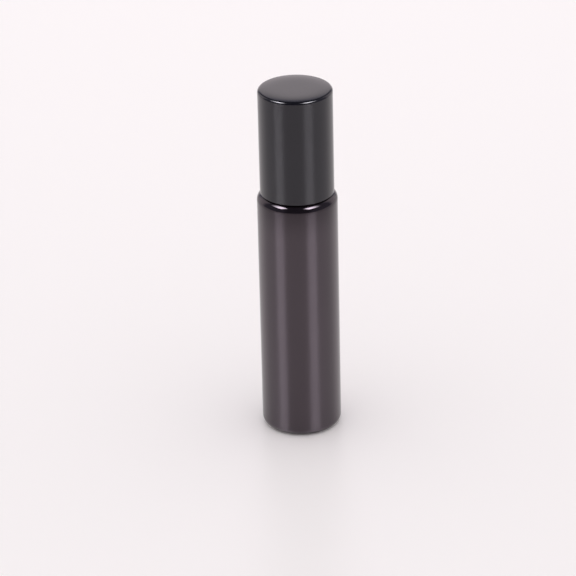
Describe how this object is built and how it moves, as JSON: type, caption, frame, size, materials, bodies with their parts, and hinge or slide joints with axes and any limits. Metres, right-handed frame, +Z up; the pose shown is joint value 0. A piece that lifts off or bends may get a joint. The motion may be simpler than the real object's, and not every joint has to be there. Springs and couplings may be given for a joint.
{
  "type": "roll-on bottle",
  "caption": "Slim cylindrical coated-glass roll-on bottle with a glossy screw cap over a steel roller ball held in a moulded fitment pressed into the threaded neck.",
  "frame": {"origin": "centre of the base, on the surface that the bottle stands on", "axes": "+Z up along the bottle's axis, towards the cap; +X is where the neck thread starts"},
  "size_m": [0.019, 0.019, 0.0868],
  "materials": {
    "coated_glass": "opaque black-violet lacquer on glass, glossy",
    "natural_plastic": "natural milky polyethylene",
    "polished_steel": "polished bearing ball",
    "soft_seal": "soft white, satin",
    "liner_plastic": "black moulded plastic, satin",
    "cap_gloss": "glossy black"
  },
  "bodies": {
    "bottle": {"glass_bottle": "coated_glass", "roller_housing": "natural_plastic"},
    "ball": {"roller_ball": "polished_steel"},
    "seal": {"cap_seal": "soft_seal"},
    "cap": {"cap_shell": "cap_gloss", "cap_liner": "liner_plastic"}
  },
  "joints": [
    {"name": "ball_roll", "type": "hinge", "parent": "bottle", "child": "ball", "pos_m": [0, 0, 0.07748], "axis": [1, 0, 0], "continuous": true},
    {"name": "cap_lift", "type": "slide", "parent": "bottle", "child": "seal", "axis": [0, 0, 1], "range_m": [0, 0.024]},
    {"name": "cap_turn", "type": "hinge", "parent": "seal", "child": "cap", "pos_m": [0, 0, 0.0608], "axis": [0, 0, 1], "range_deg": [0, 2880]}
  ],
  "couplings": [
    {"joint": "cap_lift", "follows": "cap_turn", "m_per_rad": 0.00047746}
  ]
}
